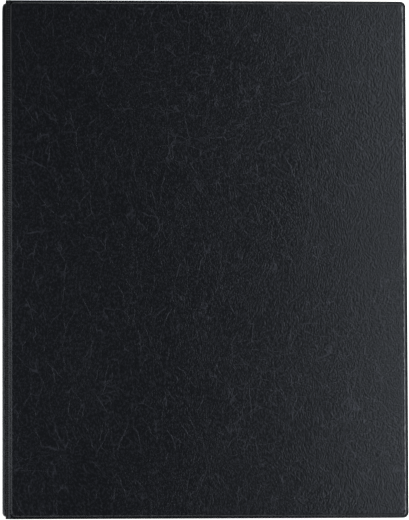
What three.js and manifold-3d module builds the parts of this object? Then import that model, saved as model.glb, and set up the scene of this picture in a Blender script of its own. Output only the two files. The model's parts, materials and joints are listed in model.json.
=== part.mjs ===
// A4 ring binder, closed and lying on its back cover: three boards welded between a leather-grained
// outer vinyl and a smooth vinyl lining, with a four-ring mechanism riveted inside the spine.
// Millimetres. +Z is up, +Y runs along the spine towards the top of the cover, and the spine is at -X.
import * as THREE from "three";
import { mergeVertices } from "three/addons/utils/BufferGeometryUtils.js";
import Module from "manifold-3d";

const wasm = await Module();
wasm.setup();

// Closed binder
const COVER_LENGTH = 320; // top edge to bottom edge
const COVER_DEPTH = 250; // outer face of the spine to the fore edge
const CLOSED_HEIGHT = 40; // outer face of the back cover to outer face of the front cover

// Sheets and boards
const OUTER_VINYL = 0.5;
const BOARD = 2;
const LINING = 0.4;
const SEAT = 0.05; // clearance between two pieces that lie flat on each other
const POCKET = BOARD + 2 * SEAT; // room between outer vinyl and lining

// Welds round each panel, and the drape of the outer vinyl from the board's edge down to its weld
const HINGE_HALF = 2.2; // half of the flat weld between two panels
const FORE_WELD = 1.5;
const END_WELD = 1.4;
const HINGE_DRAPE = 1.2;
const FORE_DRAPE = 2.3;
const END_DRAPE = 1.7;
const SPINE_END_DRAPE = 2.4;
const HINGE_OVERRUN = 0.35; // how far a cover's weld reaches past the fold line
const HINGE_BACKOFF = 0.8; // how far short of the fold line the spine's weld stops
const SHEET_CORNER = 3.5;
const BOARD_CORNER = 2.5;
const HINGE_CORNER = 1.2;
const BOARD_CHAMFER = 0.4;
const BOARD_SLACK = 0.2; // between the board's edge and the foot of its drape
const DRAPE_STEPS = 4;
const CORNER_STEPS = 5;

// Ring mechanism, in its own frame: u across the spine, v along it, w away from it
const RING_COUNT = 4;
const RING_PITCH = 80;
const RING_BORE = 20; // inner diameter of a closed ring
const WIRE = 2.8; // diameter of the ring wire
const TAIL_BEND = 2; // radius of the bend where a half ring leaves the housing
const TIP_GAP = 0.3;
const NOSE_RADIUS = 0.8;
const NOSE_TIP_RADIUS = 0.5;
const NOSE_LENGTH = 1.1;
const NOSE_CLEARANCE = 0.2;
const WIRE_SIDES = 12;
const RING_STEPS = 16;
const BEND_STEPS = 4;

const SHEET_METAL = 0.8; // housing and blades
const HOUSING_HALF_WIDTH = 10;
const HOUSING_CROWN = 8;
const HOUSING_WALL = 4; // height of the straight side wall
const RIM_HEIGHT = 2.2; // rolled rim that the blades rest on
const ARCH_PAST_RIVET = 6.5; // from a rivet's axis to the end of the arch
const EAR_LENGTH = 6; // side walls that reach past the arch and carry the levers
const SLOT_CLEARANCE = 0.3;
const ARCH_SEGMENTS = 14;

const OPEN_ANGLE = THREE.MathUtils.degToRad(10); // turn of a blade from closed to open
const BLADE_CLEARANCE = 0.2; // to the rim and the side wall
const SEAM_GAP = 0.3; // between the two blades when they are level
const TAIL_FROM_PIVOT = 3; // half ring's tail to the blade's outer edge
const TAIL_RADIUS = 1;
const TAIL_CLEARANCE = 0.15;
const TAIL_HEAD_RADIUS = 1.7;
const TAIL_HEAD = 0.5;
const BLADE_END_GAP = 2.5; // from the end of the arch back to the full width of the blades
const TONGUE_WIDTH = 4;
const TONGUE_LENGTH = 3;

const RIVET_FROM_RING = 10; // rivet to the outermost ring
const RIVET_RADIUS = 2;
const RIVET_BORE_RADIUS = 1.1;
const RIVET_CLEARANCE = 0.15;
const RIVET_HEAD_RADIUS = 4.4;
const RIVET_HEAD = 0.7;
const RIVET_ROLL_RADIUS = 3.3;
const RIVET_ROLL = 1.1;
const RIVET_SEAT_RADIUS = 4.2;
const RIVET_NOTCH = 0.8; // blade notch to rivet

const LEVER_PER_BLADE = 3; // degrees of lever for each degree of blade
const LEVER_PLATE = 1.3;
const LEVER_WIDTH = 13;
const LEVER_NECK_WIDTH = 9;
const LEVER_STEM = 6; // straight part, from the pivot
const LEVER_CURVE = 9; // radius of the outward curve
const LEVER_CURVE_ANGLE = THREE.MathUtils.degToRad(52);
const LEVER_CORNER = 3;
const BARREL_RADIUS = 1.3;
const TRUNNION_RADIUS = 0.9;
const TRUNNION_CLEARANCE = 0.15;
const EAR_CLEARANCE = 0.3; // barrel to ear, on each side
const FINGER_HALF_WIDTH = 2;
const FINGER_LENGTH = 3.3; // from the pivot
const FINGER_THICKNESS = 0.6;
const JAW_HALF = 0.9; // half of the gap between the two fingers

// Planes and axes that several pieces share
const WELD_DEPTH = OUTER_VINYL + POCKET; // outer face of a panel to its weld plane
const X_SPINE = -COVER_DEPTH / 2;
const X_FORE = COVER_DEPTH / 2;
const X_FOLD = X_SPINE + WELD_DEPTH;
const Z_BACK_FOLD = WELD_DEPTH;
const Z_FRONT_FOLD = CLOSED_HEIGHT - WELD_DEPTH;
const Y_END = COVER_LENGTH / 2;

const CLOSED_TILT = OPEN_ANGLE / 2; // the blades pass through level halfway
const PIVOT_U = HOUSING_HALF_WIDTH - SHEET_METAL - BLADE_CLEARANCE;
const PIVOT_W = RIM_HEIGHT + BLADE_CLEARANCE + SHEET_METAL / 2;
const BLADE_WIDTH = PIVOT_U - SEAM_GAP / 2;
const WIRE_RADIUS = WIRE / 2;
const RING_RADIUS = RING_BORE / 2 + WIRE_RADIUS; // of the wire's centreline
const RING_VS = Array.from({ length: RING_COUNT }, (_, i) => (i - (RING_COUNT - 1) / 2) * RING_PITCH);
const V_RIVET = RING_VS[RING_COUNT - 1] + RIVET_FROM_RING;
const V_ARCH = V_RIVET + ARCH_PAST_RIVET;
const V_EAR = V_ARCH + EAR_LENGTH;
const V_LEVER = V_ARCH + EAR_LENGTH / 2 - SHEET_METAL / 2;
const V_BLADE = V_ARCH - BLADE_END_GAP;
const V_TONGUE = V_BLADE + TONGUE_LENGTH;
const ARCH_RISE = HOUSING_CROWN - HOUSING_WALL;
const ARCH_RADIUS = (HOUSING_HALF_WIDTH ** 2 + ARCH_RISE ** 2) / (2 * ARCH_RISE);
const ARCH_CENTRE_W = HOUSING_CROWN - ARCH_RADIUS;

const vinyl = new THREE.MeshStandardMaterial({ color: 0x1c1d21, roughness: 0.5, metalness: 0 });
const liningVinyl = new THREE.MeshStandardMaterial({ color: 0x17181b, roughness: 0.6, metalness: 0 });
const greyBoard = new THREE.MeshStandardMaterial({ color: 0x8a8478, roughness: 0.95, metalness: 0 });
const nickel = new THREE.MeshStandardMaterial({ color: 0xc9cacc, roughness: 0.22, metalness: 1 });
const steel = new THREE.MeshStandardMaterial({ color: 0x9c9ea2, roughness: 0.4, metalness: 1 });

// Solids for cutting and joining
function solid(geometry) {
  const bare = geometry.index ? geometry.toNonIndexed() : geometry.clone();
  bare.deleteAttribute("normal");
  bare.deleteAttribute("uv");
  const merged = mergeVertices(bare, 1e-4);
  return new wasm.Manifold(
    new wasm.Mesh({
      numProp: 3,
      vertProperties: merged.attributes.position.array,
      triVerts: new Uint32Array(merged.index.array),
    }),
  );
}

function geometryOf(made) {
  const mesh = made.getMesh();
  return new THREE.BufferGeometry()
    .setAttribute("position", new THREE.BufferAttribute(mesh.vertProperties, 3))
    .setIndex(new THREE.BufferAttribute(mesh.triVerts, 1));
}

function piece(name, geometry, material) {
  const mesh = new THREE.Mesh(geometry, material);
  mesh.name = name;
  return mesh;
}

// A box given by its lowest and highest corners.
function block(low, high) {
  const size = high.map((value, i) => value - low[i]);
  const middle = high.map((value, i) => (value + low[i]) / 2);
  return new THREE.BoxGeometry(...size).translate(...middle);
}

// A rod between two heights along w, at a place on the spine.
function post(radius, u, v, low, high, sides = 24) {
  return new THREE.CylinderGeometry(radius, radius, high - low, sides)
    .rotateX(Math.PI / 2)
    .translate(u, v, (low + high) / 2);
}

// A rod across the spine, along u.
function crossRod(radius, v, w, low, high, endRadius = radius, sides = 20) {
  return new THREE.CylinderGeometry(endRadius, radius, high - low, sides)
    .rotateZ(-Math.PI / 2)
    .translate((low + high) / 2, v, w);
}

// One rounded rectangle of a loft, as points in order round it.
function rectanglePoints({ left, right, end, leftCorner, rightCorner, z }) {
  const corners = [
    [right - rightCorner, end - rightCorner, rightCorner, 0],
    [left + leftCorner, end - leftCorner, leftCorner, 1],
    [left + leftCorner, leftCorner - end, leftCorner, 2],
    [right - rightCorner, rightCorner - end, rightCorner, 3],
  ];
  return corners.flatMap(([x, y, radius, quarter]) =>
    Array.from({ length: CORNER_STEPS + 1 }, (_, i) => {
      const angle = ((quarter + i / CORNER_STEPS) * Math.PI) / 2;
      return [x + radius * Math.cos(angle), y + radius * Math.sin(angle), z];
    }),
  );
}

// A closed body through rounded rectangles, from the middle of its outer face round to its inner one.
function loft(rectangles) {
  const rings = rectangles.map(rectanglePoints);
  const count = rings[0].length;
  const triangles = [];
  const cap = (ring, facing) => {
    const centre = [0, 1, 2].map((axis) => ring.reduce((sum, point) => sum + point[axis], 0) / count);
    ring.forEach((point, i) => {
      const next = ring[(i + 1) % count];
      triangles.push(centre, ...(facing > 0 ? [point, next] : [next, point]));
    });
  };
  cap(rings[0], 1);
  rings.slice(1).forEach((ring, r) => {
    const inner = rings[r];
    ring.forEach((point, i) => {
      const j = (i + 1) % count;
      triangles.push(inner[i], point, ring[j], inner[i], ring[j], inner[j]);
    });
  });
  cap(rings[rings.length - 1], -1);
  return new THREE.BufferGeometry().setAttribute(
    "position",
    new THREE.Float32BufferAttribute(triangles.flat(), 3),
  );
}

// The rectangle that lies inside a sheet by its own distance on each side.
function inset(sheet, leftBy, rightBy, endBy, corner, z) {
  return {
    left: sheet.left + leftBy,
    right: sheet.right - rightBy,
    end: sheet.end - endBy,
    leftCorner: corner,
    rightCorner: corner,
    z,
  };
}

// Panels lie in their own frame: the weld plane is z = 0 and the outer face looks up.
// weld and drape give the widths on the left, right and end sides of the sheet.
function drape(sheet, weld, width, wall, low, rise) {
  return Array.from({ length: DRAPE_STEPS + 1 }, (_, i) => {
    const share = 1 - i / DRAPE_STEPS;
    const by = weld.map((side, k) => side + wall + (width[k] - wall) * share);
    return inset(sheet, ...by, BOARD_CORNER, low + rise * Math.sqrt(1 - (1 - share) ** 2));
  });
}

function outerSheet(sheet, weld, width) {
  const outside = drape(sheet, weld, width, 0, OUTER_VINYL, POCKET);
  const inside = drape(sheet, weld, width, OUTER_VINYL, 0, POCKET).reverse();
  return loft([...outside, { ...sheet, z: OUTER_VINYL }, { ...sheet, z: 0 }, ...inside]);
}

function boardBody(sheet, weld, width) {
  const at = (extra, z) => {
    const by = weld.map((side, k) => side + width[k] + BOARD_SLACK + extra);
    return inset(sheet, ...by, BOARD_CORNER - extra, z);
  };
  const top = SEAT + BOARD;
  return loft([at(BOARD_CHAMFER, top), at(0, top - BOARD_CHAMFER), at(0, SEAT)]);
}

function liningSheet(sheet) {
  return loft([
    { ...sheet, z: 0 },
    { ...sheet, z: -LINING },
  ]);
}

// One cover, with its hinge on the left and its fore edge on the right.
function cover(side) {
  const sheet = {
    left: X_FOLD - HINGE_OVERRUN,
    right: X_FORE,
    end: Y_END,
    leftCorner: HINGE_CORNER,
    rightCorner: SHEET_CORNER,
  };
  const weld = [HINGE_HALF + HINGE_OVERRUN, FORE_WELD, END_WELD];
  const width = [HINGE_DRAPE, FORE_DRAPE, END_DRAPE];
  const group = new THREE.Group();
  group.add(
    piece(`${side}_outer_vinyl`, outerSheet(sheet, weld, width), vinyl),
    piece(`${side}_board`, boardBody(sheet, weld, width), greyBoard),
    piece(`${side}_lining`, liningSheet(sheet), liningVinyl),
  );
  return group;
}

// The spine's own three layers, with holes in the board and the lining for the two rivets.
function spinePanel() {
  const half = CLOSED_HEIGHT / 2 - WELD_DEPTH - HINGE_BACKOFF;
  const sheet = {
    left: -half,
    right: half,
    end: Y_END,
    leftCorner: HINGE_CORNER,
    rightCorner: HINGE_CORNER,
  };
  const side = HINGE_HALF - HINGE_BACKOFF;
  const weld = [side, side, END_WELD];
  const width = [HINGE_DRAPE, HINGE_DRAPE, SPINE_END_DRAPE];
  let board = solid(boardBody(sheet, weld, width));
  let lining = solid(liningSheet(sheet));
  const boardTop = SEAT + BOARD;
  const counterbore = RIVET_HEAD + SEAT;
  for (const v of [-V_RIVET, V_RIVET]) {
    const hole = solid(post(RIVET_RADIUS + RIVET_CLEARANCE, 0, v, -1 - LINING, 1 + boardTop));
    const recess = post(RIVET_HEAD_RADIUS + RIVET_CLEARANCE, 0, v, boardTop - counterbore, 1 + boardTop);
    board = board.subtract(hole).subtract(solid(recess));
    lining = lining.subtract(hole);
  }
  const group = new THREE.Group();
  group.add(
    piece("spine_outer_vinyl", outerSheet(sheet, weld, width), vinyl),
    piece("spine_board", geometryOf(board), greyBoard),
    piece("spine_lining", geometryOf(lining), liningVinyl),
  );
  return group;
}

// Section of the bent housing: rolled rims, straight walls and an arch.
function housingSection() {
  const wallAngle = Math.atan2(HOUSING_WALL - ARCH_CENTRE_W, HOUSING_HALF_WIDTH);
  const innerHalf = HOUSING_HALF_WIDTH - SHEET_METAL;
  const innerRadius = ARCH_RADIUS - SHEET_METAL;
  const innerAngle = Math.acos(innerHalf / innerRadius);
  const rimInner = innerHalf - SHEET_METAL;
  const section = new THREE.Shape();
  section.moveTo(HOUSING_HALF_WIDTH, SHEET_METAL);
  section.lineTo(HOUSING_HALF_WIDTH, HOUSING_WALL);
  section.absarc(0, ARCH_CENTRE_W, ARCH_RADIUS, wallAngle, Math.PI - wallAngle, false);
  section.lineTo(-HOUSING_HALF_WIDTH, SHEET_METAL);
  section.absarc(-innerHalf, SHEET_METAL, SHEET_METAL, Math.PI, 2 * Math.PI, false);
  section.lineTo(-rimInner, RIM_HEIGHT);
  section.lineTo(-innerHalf, RIM_HEIGHT);
  section.absarc(0, ARCH_CENTRE_W, innerRadius, Math.PI - innerAngle, innerAngle, true);
  section.lineTo(innerHalf, RIM_HEIGHT);
  section.lineTo(rimInner, RIM_HEIGHT);
  section.lineTo(rimInner, SHEET_METAL);
  section.absarc(innerHalf, SHEET_METAL, SHEET_METAL, Math.PI, 2 * Math.PI, false);
  return section;
}

// A flat plate or bar from its outline in u and w, running along v.
function alongSpine(shape, length, curveSegments) {
  return new THREE.ExtrudeGeometry(shape, { depth: length, bevelEnabled: false, curveSegments })
    .translate(0, 0, -length / 2)
    .rotateX(Math.PI / 2);
}

// The round-ended slot that a half ring swings in, cut down through the arch at one ring.
function ringSlot(side, v) {
  const radius = WIRE_RADIUS + SLOT_CLEARANCE;
  const height = HOUSING_CROWN - PIVOT_W;
  const reach = PIVOT_U - TAIL_FROM_PIVOT;
  const travel = height * Math.sin(OPEN_ANGLE);
  const slot = new THREE.Shape();
  slot.absarc(reach + travel, 0, radius, -Math.PI / 2, Math.PI / 2, false);
  slot.absarc(reach - CLOSED_TILT * height, 0, radius, Math.PI / 2, (3 * Math.PI) / 2, false);
  return new THREE.ExtrudeGeometry(slot, { depth: 2 * HOUSING_CROWN, bevelEnabled: false, curveSegments: 8 })
    .rotateZ(side > 0 ? 0 : Math.PI)
    .translate(0, v, HOUSING_WALL - SHEET_METAL / 2);
}

function housing() {
  let made = solid(alongSpine(housingSection(), 2 * V_EAR, ARCH_SEGMENTS));
  for (const end of [-1, 1]) {
    const seatLow = HOUSING_CROWN - SHEET_METAL - RIVET_CLEARANCE;
    made = made.add(solid(post(RIVET_SEAT_RADIUS, 0, end * V_RIVET, seatLow, HOUSING_CROWN)));
    made = made.subtract(
      solid(post(RIVET_RADIUS + RIVET_CLEARANCE, 0, end * V_RIVET, 0, 2 * HOUSING_CROWN)),
    );
    const innerHalf = HOUSING_HALF_WIDTH - SHEET_METAL;
    const reach = [end * V_ARCH, end * (V_EAR + 1)].sort((a, b) => a - b);
    made = made.subtract(
      solid(block([-innerHalf, reach[0], -1], [innerHalf, reach[1], HOUSING_CROWN + 1])),
    );
    const bore = TRUNNION_RADIUS + TRUNNION_CLEARANCE;
    const past = HOUSING_HALF_WIDTH + 1;
    made = made.subtract(solid(crossRod(bore, end * V_LEVER, PIVOT_W, -past, past)));
  }
  for (const v of RING_VS) {
    for (const side of [-1, 1]) {
      made = made.subtract(solid(ringSlot(side, v)));
    }
  }
  return piece("ring_housing", geometryOf(made), nickel);
}

// A hollow rivet: flat head in the spine board, shank through the housing, rolled edge on its seat.
function rivet(name, v) {
  const low = -(LINING + BOARD + 3 * SEAT);
  const seat = HOUSING_CROWN + SEAT;
  const lip = (RIVET_BORE_RADIUS + RIVET_ROLL_RADIUS) / 2;
  const profile = [
    [0, low],
    [RIVET_HEAD_RADIUS, low],
    [RIVET_HEAD_RADIUS, low + RIVET_HEAD],
    [RIVET_RADIUS, low + RIVET_HEAD],
    [RIVET_RADIUS, seat],
    [RIVET_ROLL_RADIUS, seat],
    [RIVET_ROLL_RADIUS, seat + 0.4 * RIVET_ROLL],
    [0.9 * RIVET_ROLL_RADIUS, seat + 0.8 * RIVET_ROLL],
    [lip, seat + RIVET_ROLL],
    [1.2 * RIVET_BORE_RADIUS, seat + 0.75 * RIVET_ROLL],
    [RIVET_BORE_RADIUS, seat],
    [RIVET_BORE_RADIUS, HOUSING_CROWN / 2],
    [0, HOUSING_CROWN / 2],
  ];
  const turned = new THREE.LatheGeometry(
    profile.map(([r, w]) => new THREE.Vector2(r, w)),
    24,
  );
  return piece(name, turned.rotateX(Math.PI / 2).translate(0, v, 0), nickel);
}

// A blade lies from its outer edge, x = 0, to the seam. Its tongues reach into the levers' jaws.
function bladeGeometry() {
  const seamNotch = RIVET_RADIUS + RIVET_NOTCH;
  const half = Math.sqrt(seamNotch ** 2 - (SEAM_GAP / 2) ** 2);
  const outline = new THREE.Shape();
  const notch = (v) => {
    outline.lineTo(BLADE_WIDTH, v - half);
    const start = Math.atan2(-half, -SEAM_GAP / 2);
    outline.absarc(BLADE_WIDTH + SEAM_GAP / 2, v, seamNotch, start, -start, true);
  };
  outline.moveTo(0, -V_BLADE);
  outline.lineTo(BLADE_WIDTH - TONGUE_WIDTH, -V_BLADE);
  outline.lineTo(BLADE_WIDTH - TONGUE_WIDTH, -V_TONGUE);
  outline.lineTo(BLADE_WIDTH, -V_TONGUE);
  notch(-V_RIVET);
  notch(V_RIVET);
  outline.lineTo(BLADE_WIDTH, V_TONGUE);
  outline.lineTo(BLADE_WIDTH - TONGUE_WIDTH, V_TONGUE);
  outline.lineTo(BLADE_WIDTH - TONGUE_WIDTH, V_BLADE);
  outline.lineTo(0, V_BLADE);
  for (const v of RING_VS) {
    const hole = new THREE.Path();
    hole.absarc(TAIL_FROM_PIVOT, v, TAIL_RADIUS + TAIL_CLEARANCE, 0, 2 * Math.PI, true);
    outline.holes.push(hole);
  }
  return new THREE.ExtrudeGeometry(outline, {
    depth: SHEET_METAL,
    bevelEnabled: false,
    curveSegments: 8,
  }).translate(0, 0, -SHEET_METAL / 2);
}

// Points and directions down the middle of a closed half ring, on the u < 0 side: straight out of the
// blade, a short bend outwards, then the round of the ring up to its tip over the middle of the spine.
function ringPath() {
  const normal = new THREE.Vector2(Math.sin(CLOSED_TILT), Math.cos(CLOSED_TILT));
  const outward = new THREE.Vector2(-normal.y, normal.x);
  const foot = new THREE.Vector2(-PIVOT_U, PIVOT_W).add(
    new THREE.Vector2(Math.cos(CLOSED_TILT), -Math.sin(CLOSED_TILT)).multiplyScalar(TAIL_FROM_PIVOT),
  );
  const start = foot.clone().addScaledVector(normal, SHEET_METAL / 2 + SEAT);
  const straight = (HOUSING_CROWN - WIRE_RADIUS - start.y) / normal.y;
  const leave = start.clone().addScaledVector(normal, straight);
  const bendCentre = leave.clone().addScaledVector(outward, TAIL_BEND);
  const ringCentre = new THREE.Vector2(
    0,
    bendCentre.y + Math.sqrt((RING_RADIUS + TAIL_BEND) ** 2 - bendCentre.x ** 2),
  );
  const path = [
    { point: start, along: normal },
    { point: leave, along: normal },
  ];
  const toRing = ringCentre.clone().sub(bendCentre).angle();
  for (let i = 1; i <= BEND_STEPS; i++) {
    const from = -CLOSED_TILT;
    const angle = from + ((toRing - from) * i) / BEND_STEPS;
    const radial = new THREE.Vector2(Math.cos(angle), Math.sin(angle));
    path.push({
      point: bendCentre.clone().addScaledVector(radial, TAIL_BEND),
      along: new THREE.Vector2(-radial.y, radial.x),
    });
  }
  const first = toRing + Math.PI;
  const last = Math.PI / 2 + Math.asin(TIP_GAP / 2 / RING_RADIUS);
  for (let i = 1; i <= RING_STEPS; i++) {
    const angle = first + ((last - first) * i) / RING_STEPS;
    const radial = new THREE.Vector2(Math.cos(angle), Math.sin(angle));
    path.push({
      point: ringCentre.clone().addScaledVector(radial, RING_RADIUS),
      along: new THREE.Vector2(radial.y, -radial.x),
    });
  }
  path[path.length - 1].along = new THREE.Vector2(1, 0);
  return { path, foot, ringCentre };
}

// Round wire swept along a path in u and w.
function wire(path) {
  const rings = path.map(({ point, along }) =>
    Array.from({ length: WIRE_SIDES }, (_, i) => {
      const angle = ((i + 0.5) / WIRE_SIDES) * 2 * Math.PI;
      const across = WIRE_RADIUS * Math.cos(angle);
      return [point.x + along.y * across, WIRE_RADIUS * Math.sin(angle), point.y - along.x * across];
    }),
  );
  const triangles = [];
  rings.slice(1).forEach((ring, r) => {
    const before = rings[r];
    ring.forEach((corner, i) => {
      const j = (i + 1) % WIRE_SIDES;
      triangles.push(before[i], ring[j], corner, before[i], before[j], ring[j]);
    });
  });
  const last = rings[rings.length - 1];
  for (let i = 1; i < WIRE_SIDES - 1; i++) {
    triangles.push(rings[0][0], rings[0][i + 1], rings[0][i], last[0], last[i], last[i + 1]);
  }
  return new THREE.BufferGeometry().setAttribute(
    "position",
    new THREE.Float32BufferAttribute(triangles.flat(), 3),
  );
}

// A half ring with its riveted tail. One side's tip has a nose, and the other's a socket for it.
function halfRing(hasNose) {
  const { path, foot, ringCentre } = ringPath();
  const half = SHEET_METAL / 2 + SEAT;
  const shank = post(TAIL_RADIUS, 0, 0, -half - TAIL_HEAD / 2, half + WIRE_RADIUS, 16);
  const head = post(TAIL_HEAD_RADIUS, 0, 0, -half - TAIL_HEAD, -half, 16);
  const tail = solid(shank)
    .add(solid(head))
    .rotate([0, THREE.MathUtils.radToDeg(CLOSED_TILT), 0])
    .translate([foot.x, 0, foot.y]);
  let made = solid(wire(path)).add(tail);
  const tipW = ringCentre.y + RING_RADIUS;
  const face = -TIP_GAP / 2;
  if (hasNose) {
    const nose = crossRod(NOSE_RADIUS, 0, tipW, face - WIRE_RADIUS, face + NOSE_LENGTH, NOSE_TIP_RADIUS, 12);
    made = made.add(solid(nose));
  } else {
    const depth = NOSE_LENGTH - TIP_GAP + NOSE_CLEARANCE;
    made = made.subtract(
      solid(crossRod(NOSE_RADIUS + NOSE_CLEARANCE, 0, tipW, face - depth, face + 1, undefined, 12)),
    );
  }
  return geometryOf(made);
}

// A blade with its four half rings, on the u < 0 side.
function bladeSet(side, hasNose) {
  const group = new THREE.Group();
  const blade = piece(`${side}_blade`, bladeGeometry(), steel);
  blade.position.set(-PIVOT_U, 0, PIVOT_W);
  blade.rotation.y = CLOSED_TILT;
  group.add(blade);
  RING_VS.forEach((v, i) => {
    const ring = piece(`${side}_half_ring_${i + 1}`, halfRing(hasNose), nickel);
    ring.position.y = v;
    group.add(ring);
  });
  return group;
}

// Side view of the lever's plate: straight out of the barrel, then curving outwards.
function leverProfile() {
  const half = LEVER_PLATE / 2;
  const turned = Math.PI - LEVER_CURVE_ANGLE;
  const profile = new THREE.Shape();
  profile.moveTo(half, 0);
  profile.lineTo(half, LEVER_STEM);
  profile.absarc(LEVER_CURVE, LEVER_STEM, LEVER_CURVE - half, Math.PI, turned, true);
  profile.absarc(LEVER_CURVE, LEVER_STEM, LEVER_CURVE + half, turned, Math.PI, false);
  profile.lineTo(-half, 0);
  return profile;
}

// Front view of the lever's plate: a neck that widens to a round-cornered finger pad.
function leverOutline() {
  const neck = LEVER_NECK_WIDTH / 2;
  const pad = LEVER_WIDTH / 2;
  const top = LEVER_STEM + LEVER_CURVE * Math.sin(LEVER_CURVE_ANGLE);
  const shoulder = LEVER_STEM * 0.9;
  const outline = new THREE.Shape();
  outline.moveTo(neck, 0);
  outline.lineTo(neck, shoulder / 3);
  outline.bezierCurveTo(neck, shoulder * 0.75, pad, shoulder * 0.6, pad, shoulder);
  outline.lineTo(pad, top - LEVER_CORNER);
  outline.absarc(pad - LEVER_CORNER, top - LEVER_CORNER, LEVER_CORNER, 0, Math.PI / 2, false);
  outline.absarc(LEVER_CORNER - pad, top - LEVER_CORNER, LEVER_CORNER, Math.PI / 2, Math.PI, false);
  outline.lineTo(-pad, shoulder);
  outline.bezierCurveTo(-pad, shoulder * 0.6, -neck, shoulder * 0.75, -neck, shoulder / 3);
  outline.lineTo(-neck, 0);
  return outline;
}

// The opening lever at the v > 0 end, about its own pivot.
function lever(name) {
  const plate = new THREE.ExtrudeGeometry(leverProfile(), {
    depth: LEVER_WIDTH + 2,
    bevelEnabled: false,
    curveSegments: 10,
  })
    .translate(0, 0, -LEVER_WIDTH / 2 - 1)
    .rotateX(Math.PI / 2)
    .rotateZ(Math.PI / 2);
  const outline = alongSpine(leverOutline(), 4 * LEVER_CURVE, 6);
  const barrelHalf = HOUSING_HALF_WIDTH - SHEET_METAL - EAR_CLEARANCE;
  let made = solid(plate)
    .intersect(solid(outline))
    .add(solid(crossRod(BARREL_RADIUS, 0, 0, -barrelHalf, barrelHalf)))
    .add(solid(crossRod(TRUNNION_RADIUS, 0, 0, -HOUSING_HALF_WIDTH, HOUSING_HALF_WIDTH)));
  const jaw = (OPEN_ANGLE * LEVER_PER_BLADE) / 2;
  for (const [low, high] of [
    [-JAW_HALF - FINGER_THICKNESS, -JAW_HALF],
    [JAW_HALF, JAW_HALF + FINGER_THICKNESS],
  ]) {
    const finger = block([-FINGER_HALF_WIDTH, -FINGER_LENGTH, low], [FINGER_HALF_WIDTH, 0, high]);
    made = made.add(solid(finger.rotateX(jaw)));
  }
  const mesh = piece(name, geometryOf(made), nickel);
  mesh.position.set(0, V_LEVER, PIVOT_W);
  return mesh;
}

function turnedRound(...pieces) {
  const group = new THREE.Group();
  group.rotation.z = Math.PI;
  group.add(...pieces);
  return group;
}

function mechanism() {
  const group = new THREE.Group();
  group.add(
    housing(),
    rivet("top_rivet", V_RIVET),
    rivet("bottom_rivet", -V_RIVET),
    bladeSet("front", true),
    turnedRound(bladeSet("back", false)),
    lever("top_lever"),
    turnedRound(lever("bottom_lever")),
  );
  return group;
}

const binder = new THREE.Group();

const frontCover = cover("front");
frontCover.position.z = Z_FRONT_FOLD;

const backCover = cover("back");
backCover.position.z = Z_BACK_FOLD;
backCover.rotation.x = Math.PI;

const spine = spinePanel();
spine.position.set(X_FOLD, 0, CLOSED_HEIGHT / 2);
spine.rotation.y = -Math.PI / 2;

const rings = mechanism();
rings.position.set(X_FOLD + LINING + SEAT, 0, CLOSED_HEIGHT / 2);
rings.rotation.y = Math.PI / 2;

binder.add(backCover, spine, frontCover, rings);
export default binder;
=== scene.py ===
# Looks of the A4 ring binder: grained vinyl panels with ribbed welds, bent vinyl strips round the
# folds, and the nickel-plated ring mechanism. Metres, in the frame of the imported model.
import json
import math

import bmesh
import bpy
from mathutils import Euler, Matrix, Vector

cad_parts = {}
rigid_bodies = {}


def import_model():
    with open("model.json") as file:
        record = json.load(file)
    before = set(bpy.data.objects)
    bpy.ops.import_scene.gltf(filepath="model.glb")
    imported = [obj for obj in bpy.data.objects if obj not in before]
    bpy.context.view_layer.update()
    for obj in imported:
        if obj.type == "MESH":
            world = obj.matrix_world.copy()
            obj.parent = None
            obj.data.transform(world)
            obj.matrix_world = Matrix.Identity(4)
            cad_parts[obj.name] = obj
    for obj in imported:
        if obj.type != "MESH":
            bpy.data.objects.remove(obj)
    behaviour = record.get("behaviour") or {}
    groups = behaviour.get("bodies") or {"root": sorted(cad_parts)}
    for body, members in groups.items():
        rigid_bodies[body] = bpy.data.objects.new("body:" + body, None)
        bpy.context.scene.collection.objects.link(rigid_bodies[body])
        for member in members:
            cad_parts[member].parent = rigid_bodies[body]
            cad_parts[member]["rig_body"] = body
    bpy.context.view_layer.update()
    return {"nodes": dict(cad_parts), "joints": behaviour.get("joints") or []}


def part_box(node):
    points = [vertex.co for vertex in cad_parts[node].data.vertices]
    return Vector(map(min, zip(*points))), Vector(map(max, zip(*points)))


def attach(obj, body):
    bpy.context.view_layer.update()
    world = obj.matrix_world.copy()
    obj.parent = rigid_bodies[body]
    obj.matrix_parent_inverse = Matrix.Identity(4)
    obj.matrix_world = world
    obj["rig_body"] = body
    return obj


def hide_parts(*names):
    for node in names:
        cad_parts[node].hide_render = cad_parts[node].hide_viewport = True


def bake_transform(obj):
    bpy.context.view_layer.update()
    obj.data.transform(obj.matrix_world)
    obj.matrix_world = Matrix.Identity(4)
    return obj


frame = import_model()

MM = 0.001

# Planes of the model, from the frame
front_low, front_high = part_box("front_outer_vinyl")
joints = {joint["name"]: Vector(joint["pos_m"]) for joint in frame["joints"]}
FRONT_FOLD = joints["front_cover_fold"]
BACK_FOLD = joints["spine_fold"]
X_FOLD = FRONT_FOLD.x
X_FORE = front_high.x
Y_END = front_high.y
Z_MIDDLE = (FRONT_FOLD.z + BACK_FOLD.z) / 2
SPINE_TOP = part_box("spine_outer_vinyl")[1].z
PANEL_RISE = front_high.z - front_low.z
LINING = FRONT_FOLD.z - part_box("front_lining")[0].z

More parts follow.
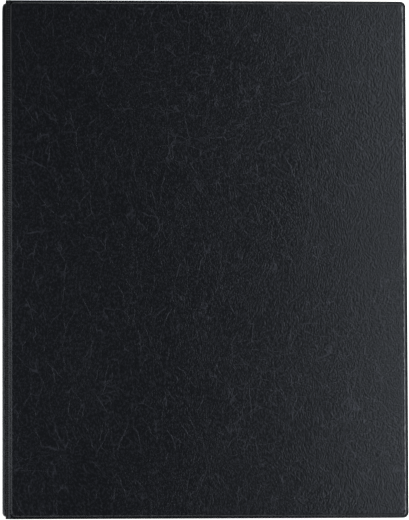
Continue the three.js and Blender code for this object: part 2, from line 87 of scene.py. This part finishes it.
# Panels
VINYL = 0.5 * MM
HINGE_HALF = 2.2 * MM  # from the fold to the drape beside it
HINGE_DRAPE = 1.2 * MM
FORE_WELD = 1.5 * MM
FORE_DRAPE = 2.3 * MM
END_WELD = 1.4 * MM
END_DRAPE = 1.7 * MM
SPINE_END_DRAPE = 2.4 * MM
SHEET_CORNER = 3.5 * MM
HINGE_CORNER = 1.2 * MM
BOARD_CORNER = 2.5 * MM
BEAD_ROUNDING = 0.12 * MM
EDGE_BEAD = 0.45 * MM  # width of the bead at the cut edge of a weld
BAND_START = 0.65 * MM  # from the cut edge to the pressed band inside the bead
BAND_DEPTH = 0.12 * MM
BAND_MARGIN = 0.15 * MM  # from the band to the drape
FACE_MARGIN = 0.8 * MM  # last row of the loft, from the drape
LINING_ROUNDING = 0.1 * MM
LINING_RIBS = 0.6 * MM  # from the cut edge to full ribs
LINE_BOTTOM = 0.35 * MM  # from the weld to the bottom of the line pressed beside the board
LINE_END = 0.9 * MM

# Ribs of the welds
RIB_PITCH = 2.06 * MM
RIB_DEPTH = 0.16 * MM
RIB_SAMPLES = 6
CORNER_SAMPLES = 8
DRAPE_SAMPLES = 8
ON_SIDE = 0.2 * MM  # points as near to a side as this are on it

# Folds
FOLD_RADIUS = 0.6 * MM
FOLD_RISE = 0.38 * MM  # height of the bend's face over the strip's middle
FOLD_SAMPLES = 6
FOLD_RIB_PITCH = 1.48 * MM
FOLD_RIB_DEPTH = 0.2 * MM
FOLD_LAP = 0.25 * MM  # how far the strip reaches into the drapes
STRIP_GAP = 0.02 * MM  # keeps the strip's inner face off the linings'

# Metal and floor
EDGE_ROUNDING = 0.1 * MM
WELD_DISTANCE = 0.001 * MM
FLOOR_HALF = 3.0
FLOOR_DROP = 0.2 * MM

# Room: its light on the object, and the white that shows behind the object
ROOM_LIGHT = 0.17
BACKDROP_LIGHT = 1.0  # the world, to the camera only
FLOOR_GLOW = 0.95  # the floor, to the camera and in reflections

# Camera, fitted to the outline in the photograph
PHOTO_HEIGHT = 520
FOCAL_PIXELS = 4053
SENSOR_HEIGHT = 24
CAMERA_DISTANCE = 2.5
CAMERA_TURN = Euler([math.radians(degrees) for degrees in (3.464, -3.334, -0.203)], "XYZ")
CAMERA_AIM = Vector((-0.55 * MM, -0.8 * MM, 37.8 * MM))


class Tree:
    """A material's node tree, with short calls for the nodes that it is built from."""

    def __init__(self, name):
        self.material = bpy.data.materials.new(name)
        self.material.use_nodes = True
        self.tree = self.material.node_tree
        self.tree.nodes.clear()
        self.output = self.tree.nodes.new("ShaderNodeOutputMaterial")

    def node(self, kind, inputs=None, **settings):
        made = self.tree.nodes.new("ShaderNode" + kind)
        for key, value in settings.items():
            setattr(made, key, value)
        for key, value in (inputs or {}).items():
            if isinstance(value, bpy.types.NodeSocket):
                self.tree.links.new(value, made.inputs[key])
            else:
                made.inputs[key].default_value = value
        return made

    def metres(self):
        return self.node("TexCoord").outputs["Object"]

    def millimetres(self):
        return self.scaled(self.metres(), 1 / MM)

    def scaled(self, vector, factor):
        made = self.node("VectorMath", {0: vector, "Scale": factor}, operation="SCALE")
        return made.outputs["Vector"]

    def vectors(self, operation, a, b):
        return self.node("VectorMath", {0: a, 1: b}, operation=operation).outputs["Vector"]

    def stretched(self, vector, factors):
        return self.vectors("MULTIPLY", vector, factors)

    def math(self, operation, a, b, clamp=False):
        return self.node("Math", {0: a, 1: b}, operation=operation, use_clamp=clamp).outputs[0]

    def add(self, a, b, clamp=False):
        return self.math("ADD", a, b, clamp)

    def multiply(self, a, b):
        return self.math("MULTIPLY", a, b)

    def larger(self, a, b):
        return self.math("MAXIMUM", a, b)

    def noise(self, vector, scale, detail=2.0, roughness=0.5, output="Fac"):
        inputs = {"Vector": vector, "Scale": scale, "Detail": detail, "Roughness": roughness}
        return self.node("TexNoise", inputs).outputs[output]

    def warp(self, vector, scale, reach, detail=2.0):
        wave = self.noise(vector, scale, detail, output="Color")
        centred = self.vectors("SUBTRACT", wave, (0.5, 0.5, 0.5))
        return self.vectors("ADD", vector, self.scaled(centred, reach))

    def ramp(self, value, low, high, start=0.0, end=1.0):
        inputs = {"Value": value, "From Min": low, "From Max": high, "To Min": start, "To Max": end}
        return self.node("MapRange", inputs, interpolation_type="SMOOTHSTEP").outputs["Result"]

    def mix(self, factor, a, b):
        return self.node("Mix", {0: factor, 2: a, 3: b}, data_type="FLOAT").outputs[0]

    def mix_colour(self, factor, a, b):
        return self.node("Mix", {0: factor, 6: a, 7: b}, data_type="RGBA").outputs[2]

    def bump(self, height, strength, distance):
        inputs = {"Height": height, "Strength": strength, "Distance": distance}
        return self.node("Bump", inputs).outputs["Normal"]

    def principled(self, inputs):
        return self.finish(self.node("BsdfPrincipled", inputs))

    def finish(self, shader):
        self.tree.links.new(shader.outputs[0], self.output.inputs["Surface"])
        return self.material


def srgb(red, green, blue):
    """A colour given as it looks on screen, from 0 to 255, in the linear values that nodes take."""

    def linear(value):
        value /= 255
        return value / 12.92 if value <= 0.04045 else ((value + 0.055) / 1.055) ** 2.4

    return (linear(red), linear(green), linear(blue), 1.0)


def creases(tree, vector, size, width):
    """0 along the lines between stretched cells of a given size in millimetres, 1 inside them."""
    cells = tree.stretched(vector, tuple(1 / side for side in size))
    edge = tree.node("TexVoronoi", {"Vector": cells, "Scale": 1.0}, feature="DISTANCE_TO_EDGE")
    return tree.ramp(edge.outputs["Distance"], 0.0, width)


def cracks(tree, vector, size, turn, width):
    """1 along a wandering net of thin lines, stretched and turned by some degrees, 0 elsewhere."""
    turned = tree.node("Mapping", {"Vector": vector, "Rotation": (0, 0, math.radians(turn))})
    return tree.math("SUBTRACT", 1.0, creases(tree, turned.outputs["Vector"], size, width))


def grained_vinyl():
    """Near-black vinyl pressed with a leather grain, whose creases turn from place to place."""
    tree = Tree("grained_vinyl")
    place = tree.millimetres()
    bent = tree.warp(tree.warp(place, 0.012, 26), 0.2, 2.4, 1.0)
    turning = tree.ramp(tree.noise(place, 0.013, 1.0), 0.52, 0.62)
    patches = tree.noise(place, 0.05, 2.5)
    broken = tree.ramp(tree.noise(place, 0.14), 0.42, 0.58, 0.2)
    blotch = tree.noise(place, 0.02)

    # Fine creases upright or level, three nets of long lines, and a soft pebble under them
    upright = creases(tree, bent, (1.5, 4.2, 1.5), 0.25)
    level = creases(tree, bent, (4.6, 1.5, 1.5), 0.25)
    crease = tree.mix(turning, upright, level)
    steep, slanted, flat = (
        tree.multiply(cracks(tree, bent, size, turn, width), share)
        for size, turn, width, share in (
            ((8, 30, 8), 8, 0.028, tree.ramp(patches, 0.46, 0.56)),
            ((9, 34, 9), -28, 0.026, tree.ramp(patches, 0.54, 0.44)),
            ((8, 26, 8), 80, 0.02, turning),
        )
    )
    lines = tree.multiply(tree.larger(tree.larger(steep, slanted), flat), broken)
    pebble = tree.noise(tree.stretched(bent, (1.0, 0.6, 1.0)), 1.05, 1.0, 0.4)

    height = tree.add(tree.multiply(crease, 0.04), tree.multiply(lines, 0.05))
    height = tree.add(height, tree.multiply(pebble, 0.2))
    # Painted highlight: the long lines and the pebble's crowns get a lighter colour, standing in for
    # raised creases catching the light
    crease_highlight_paint = tree.add(tree.multiply(lines, 0.75), tree.ramp(pebble, 0.45, 0.7, 0.0, 0.34), clamp=True)
    gloss = tree.add(tree.multiply(blotch, 0.1), tree.multiply(pebble, 0.16))
    return tree.principled(
        {
            "Base Color": tree.mix_colour(crease_highlight_paint, srgb(11, 13, 18), srgb(50, 52, 60)),
            "Roughness": tree.add(gloss, 0.22),
            "Specular IOR Level": 0.32,
            "Specular Tint": (0.84, 0.92, 1.0, 1.0),
            "Normal": tree.bump(height, 1.0, MM),
        }
    )


def painted_shade_vinyl():
    """The ribbed groove of a fold, in painted shade: dull and painted dark, with a painted highlight a
    little lighter on the crests of its ribs.
    """
    tree = Tree("painted_shade_vinyl")
    fine = tree.noise(tree.millimetres(), 1.4, 2.0, 0.6)
    crest = tree.node("Attribute", attribute_name="rib_crest").outputs["Fac"]
    # Painted highlight on the rib crests, over a base painted dark as the shade in the groove
    light = tree.multiply(crest, tree.ramp(fine, 0.3, 0.7, 0.6, 1.0))
    return tree.principled(
        {
            "Base Color": tree.mix_colour(light, srgb(5, 6, 8), srgb(27, 28, 32)),
            "Roughness": tree.ramp(fine, 0.3, 0.7, 0.62, 0.54),
            "Specular IOR Level": 0.1,
            "Normal": tree.bump(fine, 1.0, 0.05 * MM),
        }
    )


def smooth_vinyl():
    """The lining: plain near-black vinyl with a very fine matt emboss."""
    tree = Tree("smooth_vinyl")
    place = tree.millimetres()
    fine = tree.noise(place, 1.6, 2.0, 0.6)
    wave = tree.noise(place, 0.03)
    height = tree.add(tree.multiply(fine, 0.03), tree.multiply(wave, 0.5))
    return tree.principled(
        {
            "Base Color": tree.mix_colour(fine, srgb(18, 18, 21), srgb(27, 28, 31)),
            "Roughness": tree.ramp(wave, 0.3, 0.7, 0.5, 0.6),
            "Specular IOR Level": 0.5,
            "Normal": tree.bump(height, 1.0, MM),
        }
    )


def grey_board():
    """Raw grey board with flecks and a fibrous surface."""
    tree = Tree("grey_board")
    place = tree.millimetres()
    fibres = tree.noise(tree.stretched(place, (0.25, 1.2, 1.2)), 1.0, 4.0, 0.65)
    flecks = tree.multiply(tree.ramp(tree.noise(place, 1.3), 0.66, 0.7), 0.5)
    plain = tree.mix_colour(fibres, srgb(122, 117, 107), srgb(158, 152, 140))
    return tree.principled(
        {
            "Base Color": tree.mix_colour(flecks, plain, srgb(82, 80, 76)),
            "Roughness": 0.92,
            "Normal": tree.bump(fibres, 0.5, 0.1 * MM),
        }
    )


def metal(name, dark, light, smooth, rough, stretch, depth):
    """Plated or rolled steel: fine drawn lines along the spine, and faint clouding."""
    tree = Tree(name)
    place = tree.millimetres()
    drawn = tree.noise(tree.stretched(place, stretch), 1.0, 3.0, 0.6)
    cloud = tree.noise(place, 0.12, 3.0)
    both = tree.multiply(tree.add(drawn, cloud), 0.5)
    return tree.principled(
        {
            "Base Color": tree.mix_colour(cloud, srgb(*dark), srgb(*light)),
            "Metallic": 1.0,
            "Roughness": tree.ramp(both, 0.3, 0.7, smooth, rough),
            "Normal": tree.bump(drawn, 0.6, depth),
        }
    )


def floor_finish():
    """Pale floor, white to the camera and in reflections, that still takes the object's shadow."""
    tree = Tree("pale_floor")
    tint = tree.noise(tree.metres(), 3.0)
    colour = tree.mix_colour(tint, srgb(232, 232, 232), srgb(238, 238, 238))
    matt = tree.node("BsdfDiffuse", {"Color": colour})
    lit = tree.node("Emission", {"Color": (1, 1, 1, 1), "Strength": FLOOR_GLOW})
    unlit = tree.node("Emission", {"Color": (0, 0, 0, 1), "Strength": 0.0})
    rays = tree.node("LightPath").outputs
    seen = tree.larger(rays["Is Camera Ray"], rays["Is Glossy Ray"])
    seen = tree.larger(seen, rays["Is Transmission Ray"])
    glow = tree.node("MixShader", {0: seen, 1: unlit.outputs[0], 2: lit.outputs[0]})
    return tree.finish(tree.node("AddShader", {0: matt.outputs[0], 1: glow.outputs[0]}))


def new_object(name, shape, material, sharp=40):
    """An object made from a bmesh, shaded smooth but for edges sharper than some degrees."""
    mesh = bpy.data.meshes.new(name)
    bmesh.ops.recalc_face_normals(shape, faces=shape.faces)
    shape.to_mesh(mesh)
    shape.free()
    mesh.polygons.foreach_set("use_smooth", [True] * len(mesh.polygons))
    mesh.set_sharp_from_angle(angle=math.radians(sharp))
    mesh.materials.append(material)
    made = bpy.data.objects.new(name, mesh)
    bpy.context.scene.collection.objects.link(made)
    return made


def steps(length, pitch):
    """How many steps a run of ribs is drawn with."""
    return max(1, round(length / pitch)) * RIB_SAMPLES


def rib_wave(along, pitch):
    """0 on the crest of a rib and 1 in the valley between two."""
    return 0.5 - 0.5 * math.cos(2 * math.pi * along / pitch)


def rounded_loop(left, right, end, left_corner, right_corner, counts):
    """Points round a rectangle that reaches as far to each end, from the right side's upper corner.
    Their number depends only on counts: the steps along an end, along a side and in a corner."""
    along_end, along_side, in_corner = counts
    corners = [
        (right - right_corner, end - right_corner, right_corner),
        (left + left_corner, end - left_corner, left_corner),
        (left + left_corner, left_corner - end, left_corner),
        (right - right_corner, right_corner - end, right_corner),
    ]
    points = []
    for quarter, (x, y, radius) in enumerate(corners):
        angles = ((quarter + i / in_corner) * math.pi / 2 for i in range(in_corner + 1))
        arc = [Vector((x + radius * math.cos(a), y + radius * math.sin(a))) for a in angles]
        if points:
            before = points[-1]
            count = along_end if quarter % 2 else along_side
            points += [before.lerp(arc[0], i / count) for i in range(1, count)]
        points += arc
    first, last = points[0], points[-1]
    points += [last.lerp(first, i / along_side) for i in range(1, along_side)]
    return points


def panel(name, sheet, profile, material, ribbed):
    """A panel lofted through rounded rectangles, in its own frame: weld plane at z = 0, outer face up.
    sheet is (left, right, end, left corner, right corner). Each row of profile is the inset from the
    left, the right and the ends, the corner radius or None, the height and the share of the ribs.
    ribbed says whether the left and the right side have ribs. The ends always do."""
    left, right, end, left_corner, right_corner = sheet
    counts = (steps(right - left, RIB_PITCH), steps(2 * end, RIB_PITCH), CORNER_SAMPLES)
    shape = bmesh.new()
    outline = rounded_loop(*sheet, counts)
    run = [0.0]
    for a, b in zip(outline, outline[1:]):
        run.append(run[-1] + (b - a).length)
    waves = []
    for edge, along in zip(outline, run):
        plain_left = abs(edge.x - left) < ON_SIDE and not ribbed[0]
        plain_right = abs(edge.x - right) < ON_SIDE and not ribbed[1]
        waves.append(0.0 if plain_left or plain_right else rib_wave(along, RIB_PITCH))
    loops = []
    for by_left, by_right, by_end, corner, height, share in profile:
        corners = (left_corner, right_corner) if corner is None else (corner, corner)
        points = rounded_loop(left + by_left, right - by_right, end - by_end, *corners, counts)
        drop = math.copysign(RIB_DEPTH, height) if height else 0.0
        loops.append(
            [
                shape.verts.new((point.x, point.y, height - drop * share * wave))
                for point, wave in zip(points, waves)
            ]
        )
    for outer, inner in zip(loops, loops[1:]):
        for i in range(len(outer)):
            j = (i + 1) % len(outer)
            shape.faces.new((outer[i], outer[j], inner[j], inner[i]))
    shape.faces.new(loops[-1])
    return new_object(name, shape, material)


def evenly(inset, height, share):
    """A row of a panel's profile with the same inset all round and the sheet's own corners."""
    return (inset, inset, inset, None, height, share)


def skin_profile(weld, drape):
    """Bead at the cut edge, pressed ribbed band, then the drape over the board's edge."""
    band = VINYL - BAND_DEPTH
    rows = [
        evenly(0, 0.0, 0.0),
        evenly(0, 0.6 * VINYL, 0.6),
        evenly(BEAD_ROUNDING, VINYL, 1.0),
        evenly(EDGE_BEAD, VINYL, 1.0),
        evenly(BAND_START, band, 0.9),
        (*(side - BAND_MARGIN for side in weld), BOARD_CORNER, band, 0.5),
    ]
    for i in range(DRAPE_SAMPLES + 1):
        angle = i / DRAPE_SAMPLES * math.pi / 2
        inset = [side + width * (1 - math.cos(angle)) for side, width in zip(weld, drape)]
        rise = band + (PANEL_RISE - band) * math.sin(angle)
        rows.append((*inset, BOARD_CORNER, rise, 0.0))
    face = [side + width + FACE_MARGIN for side, width in zip(weld, drape)]
    rows.append((*face, BOARD_CORNER, PANEL_RISE, 0.0))
    return rows


def lining_profile(weld):
    """Flat lining, ribbed at its welds, with a shallow pressed line beside the board."""
    return [
        evenly(0, 0.0, 0.0),
        evenly(0, -0.6 * LINING, 0.3),
        evenly(LINING_ROUNDING, -LINING, 0.5),
        evenly(LINING_RIBS, -LINING, 0.6),
        (*weld, BOARD_CORNER, -0.9 * LINING, 0.4),
        (*(side + LINE_BOTTOM for side in weld), BOARD_CORNER, -0.7 * LINING, 0.0),
        (*(side + LINE_END for side in weld), BOARD_CORNER, -LINING, 0.0),
    ]


def cover(side, place, outer, inner):
    left = X_FOLD + FOLD_RADIUS  # the fold strip goes on from here
    sheet = (left, X_FORE, Y_END, HINGE_CORNER, SHEET_CORNER)
    weld = (X_FOLD + HINGE_HALF - left, FORE_WELD, END_WELD)
    drape = (HINGE_DRAPE, FORE_DRAPE, END_DRAPE)
    ribbed = (False, True)
    skin_rows = skin_profile(weld, drape)
    lining_rows = lining_profile(weld)
    skin = panel(f"{side}_cover_skin", sheet, skin_rows, outer, ribbed)
    lining = panel(f"{side}_cover_lining", sheet, lining_rows, inner, ribbed)
    for made, node in ((skin, f"{side}_outer_vinyl"), (lining, f"{side}_lining")):
        made.data.transform(place)
        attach(made, f"{side}_cover")
        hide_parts(node)


def spine(place, outer, inner):
    half = SPINE_TOP - Z_MIDDLE
    sheet = (-half, half, Y_END, HINGE_CORNER, HINGE_CORNER)
    side = HINGE_HALF - (FRONT_FOLD.z - SPINE_TOP)
    weld = (side, side, END_WELD)
    drape = (HINGE_DRAPE, HINGE_DRAPE, SPINE_END_DRAPE)
    ribbed = (False, False)
    skin_rows = skin_profile(weld, drape)
    lining_rows = lining_profile(weld)
    skin = panel("spine_skin", sheet, skin_rows, outer, ribbed)
    lining = panel("spine_inside", sheet, lining_rows, inner, ribbed)
    for made, node in ((skin, "spine_outer_vinyl"), (lining, "spine_lining")):
        made.data.transform(place)
        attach(made, "spine")
        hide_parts(node)


def fold_section():
    """Section of the welded strip round the fold, from the cover's drape to the spine's: a raised ramp
    on the cover's side of the pressed, ribbed groove. Each row is the point on the strip's middle, the
    way out, the height of the face over the middle, the share of the ribs and 1 in the pressed groove.
    The fold is at the origin, the cover to the right and the spine below."""
    cover_side = [  # distance from the fold, height, share of the ribs, 1 in the groove
        (HINGE_HALF + FOLD_LAP, 0.9 * MM, 0.2, 0.0),
        (HINGE_HALF + 0.05 * MM, 1.08 * MM, 0.2, 0.0),
        (2.0 * MM, 1.04 * MM, 0.3, 0.0),
        (1.6 * MM, 0.9 * MM, 0.6, 0.0),
        (1.2 * MM, 0.74 * MM, 0.9, 0.0),
        (0.9 * MM, 0.6 * MM, 1.0, 0.0),
        (FOLD_RADIUS, 0.48 * MM, 1.0, 1.0),
    ]
    spine_side = [
        (FOLD_RADIUS, 0.46 * MM, 0.8, 1.0),
        (0.75 * MM, 0.58 * MM, 0.4, 1.0),
        (1.2 * MM, 0.62 * MM, 0.4, 1.0),
        (1.55 * MM, 0.6 * MM, 0.4, 1.0),
        (2.1 * MM, 0.52 * MM, 0.2, 0.0),
        (HINGE_HALF + FOLD_LAP, 0.35 * MM, 0.2, 0.0),
    ]
    section = [(Vector((away, 0)), Vector((0, 1)), *rest) for away, *rest in cover_side]
    centre = Vector((FOLD_RADIUS, -FOLD_RADIUS))
    for i in range(1, FOLD_SAMPLES):
        angle = math.pi / 2 * (1 + i / FOLD_SAMPLES)
        out = Vector((math.cos(angle), math.sin(angle)))
        section.append((centre + out * FOLD_RADIUS, out, FOLD_RISE, 1.0, 1.0))
    section += [(Vector((0, -away)), Vector((-1, 0)), *rest) for away, *rest in spine_side]
    return section


def fold_strip(name, fold, flip, outer, groove):
    """The strip of vinyl that bends between a cover and the spine, ribbed by its weld. flip is 1 where
    the cover lies above the spine and -1 where it lies below."""
    section = fold_section()
    count = steps(2 * Y_END, FOLD_RIB_PITCH)
    shape = bmesh.new()
    crest = shape.verts.layers.float.new("rib_crest")
    rings = []
    for i in range(count + 1):
        y = -Y_END + 2 * Y_END * i / count
        wave = rib_wave(y + Y_END, FOLD_RIB_PITCH)
        ring = []
        for point, out, rise, share, _ in section:
            place = point + out * (rise - FOLD_RIB_DEPTH * share * wave)
            vertex = shape.verts.new((fold.x + place.x, y, fold.z + flip * place.y))
            # 1 on a rib's crest, where the groove's material paints its highlight
            vertex[crest] = 1 - wave
            ring.append(vertex)
        for point, out, *_ in reversed(section):
            place = point - out * (LINING + STRIP_GAP)
            ring.append(shape.verts.new((fold.x + place.x, y, fold.z + flip * place.y)))
        rings.append(ring)
    for a, b in zip(rings, rings[1:]):
        for k in range(len(a)):
            n = (k + 1) % len(a)
            face = shape.faces.new((a[k], a[n], b[n], b[k]))
            # Faces of the pressed groove take the second material, with its painted shade and
            # highlights
            if k + 1 < len(section) and section[k][-1] and section[n][-1]:
                face.material_index = 1
    shape.faces.new(rings[0])
    shape.faces.new(list(reversed(rings[-1])))
    strip = new_object(name, shape, outer, sharp=50)
    strip.data.materials.append(groove)
    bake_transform(strip)


def refined(node, material, bevel, sharp=35):
    """The CAD solid again, with its facets joined and shaded smooth and its edges slightly rounded."""
    shape = bmesh.new()
    shape.from_mesh(frame["nodes"][node].data)
    bmesh.ops.remove_doubles(shape, verts=shape.verts, dist=WELD_DISTANCE)
    bmesh.ops.dissolve_limit(
        shape,
        angle_limit=math.radians(0.5),
        verts=shape.verts,
        edges=shape.edges,
        delimit={"NORMAL"},
    )
    made = new_object(f"{node}_finished", shape, material, sharp)
    if bevel:
        rounding = made.modifiers.new("rounding", "BEVEL")
        rounding.width = bevel
        rounding.segments = 2
        rounding.limit_method = "ANGLE"
        rounding.angle_limit = math.radians(sharp)
        rounding.use_clamp_overlap = True
        rounding.harden_normals = True
    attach(made, frame["nodes"][node]["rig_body"])
    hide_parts(node)


# Materials
vinyl = grained_vinyl()
groove_shade_vinyl = painted_shade_vinyl()
lining_vinyl = smooth_vinyl()
board = grey_board()
nickel = metal(
    "bright_nickel", (196, 196, 194), (222, 222, 220), 0.16, 0.26, (2.5, 0.12, 2.5), 0.01 * MM
)
steel = metal(
    "blade_steel", (146, 148, 152), (176, 178, 182), 0.32, 0.46, (5, 0.1, 5), 0.03 * MM
)

for node in ("front_board", "spine_board", "back_board"):
    frame["nodes"][node].data.materials.clear()
    frame["nodes"][node].data.materials.append(board)

# Panels and folds
over = Matrix.Rotation(math.pi, 4, "X")
upright = Matrix.Rotation(-math.pi / 2, 4, "Y")
cover("front", Matrix.Translation((0, 0, FRONT_FOLD.z)), vinyl, lining_vinyl)
cover("back", Matrix.Translation((0, 0, BACK_FOLD.z)) @ over, vinyl, lining_vinyl)
spine(Matrix.Translation((X_FOLD, 0, Z_MIDDLE)) @ upright, vinyl, lining_vinyl)
fold_strip("front_fold", FRONT_FOLD, 1, vinyl, groove_shade_vinyl)
fold_strip("back_fold", BACK_FOLD, -1, vinyl, groove_shade_vinyl)

# Ring mechanism
for node in frame["nodes"]:
    if "half_ring" in node:
        refined(node, nickel, 0, sharp=50)
    elif node.endswith("_blade"):
        refined(node, steel, EDGE_ROUNDING)
    elif node.endswith(("_lever", "_rivet")) or node == "ring_housing":
        refined(node, nickel, EDGE_ROUNDING)

# Floor
floor_shape = bmesh.new()
bmesh.ops.create_grid(floor_shape, x_segments=8, y_segments=8, size=FLOOR_HALF)
floor_mesh = bpy.data.meshes.new("floor")
floor_shape.to_mesh(floor_mesh)
floor_shape.free()
floor_mesh.materials.append(floor_finish())
floor = bpy.data.objects.new("floor", floor_mesh)
floor.location.z = -FLOOR_DROP
bpy.context.scene.collection.objects.link(floor)


def soft_box(name, place, aim, width, height, power):
    lamp = bpy.data.lights.new(name, "AREA")
    lamp.shape = "RECTANGLE"
    lamp.size = width
    lamp.size_y = height
    lamp.energy = power
    made = bpy.data.objects.new(name, lamp)
    made.location = place
    made.rotation_euler = (Vector(aim) - Vector(place)).to_track_quat("-Z", "Y").to_euler()
    bpy.context.scene.collection.objects.link(made)


# Light: a long soft box above the right side, a low one beside the fore edge and a weak one on the
# left, in a dim room that is white only to the camera
soft_box("key_box", (0.21, 0.1, 0.33), (0.1, 0.1, 0.04), 1.0, 0.1, 1.25)
soft_box("rim_box", (0.4, 0.0, 0.02), (0.12, 0, 0.02), 0.8, 0.036, 2.1)
soft_box("fill_box", (-0.33, -0.1, 0.2), (-0.05, -0.1, 0.04), 0.4, 0.2, 0.57)

world = bpy.data.worlds.new("room")
world.use_nodes = True
nodes = world.node_tree.nodes
links = world.node_tree.links
background = nodes["Background"]
rays = nodes.new("ShaderNodeLightPath")
level = nodes.new("ShaderNodeMapRange")
level.inputs["To Min"].default_value = ROOM_LIGHT
level.inputs["To Max"].default_value = BACKDROP_LIGHT
links.new(rays.outputs["Is Camera Ray"], level.inputs["Value"])
links.new(level.outputs["Result"], background.inputs["Strength"])
background.inputs["Color"].default_value = (1, 1, 1, 1)
bpy.context.scene.world = world

# Camera
lens = bpy.data.cameras.new("camera")
lens.sensor_fit = "VERTICAL"
lens.sensor_height = SENSOR_HEIGHT
lens.lens = FOCAL_PIXELS / PHOTO_HEIGHT * SENSOR_HEIGHT
lens.clip_start = 0.05
lens.clip_end = 20
camera = bpy.data.objects.new("camera", lens)
camera.rotation_euler = CAMERA_TURN
camera.location = CAMERA_AIM + CAMERA_DISTANCE * (CAMERA_TURN.to_matrix() @ Vector((0, 0, 1)))
bpy.context.scene.collection.objects.link(camera)
bpy.context.scene.camera = camera
bpy.context.scene.view_settings.view_transform = "Standard"
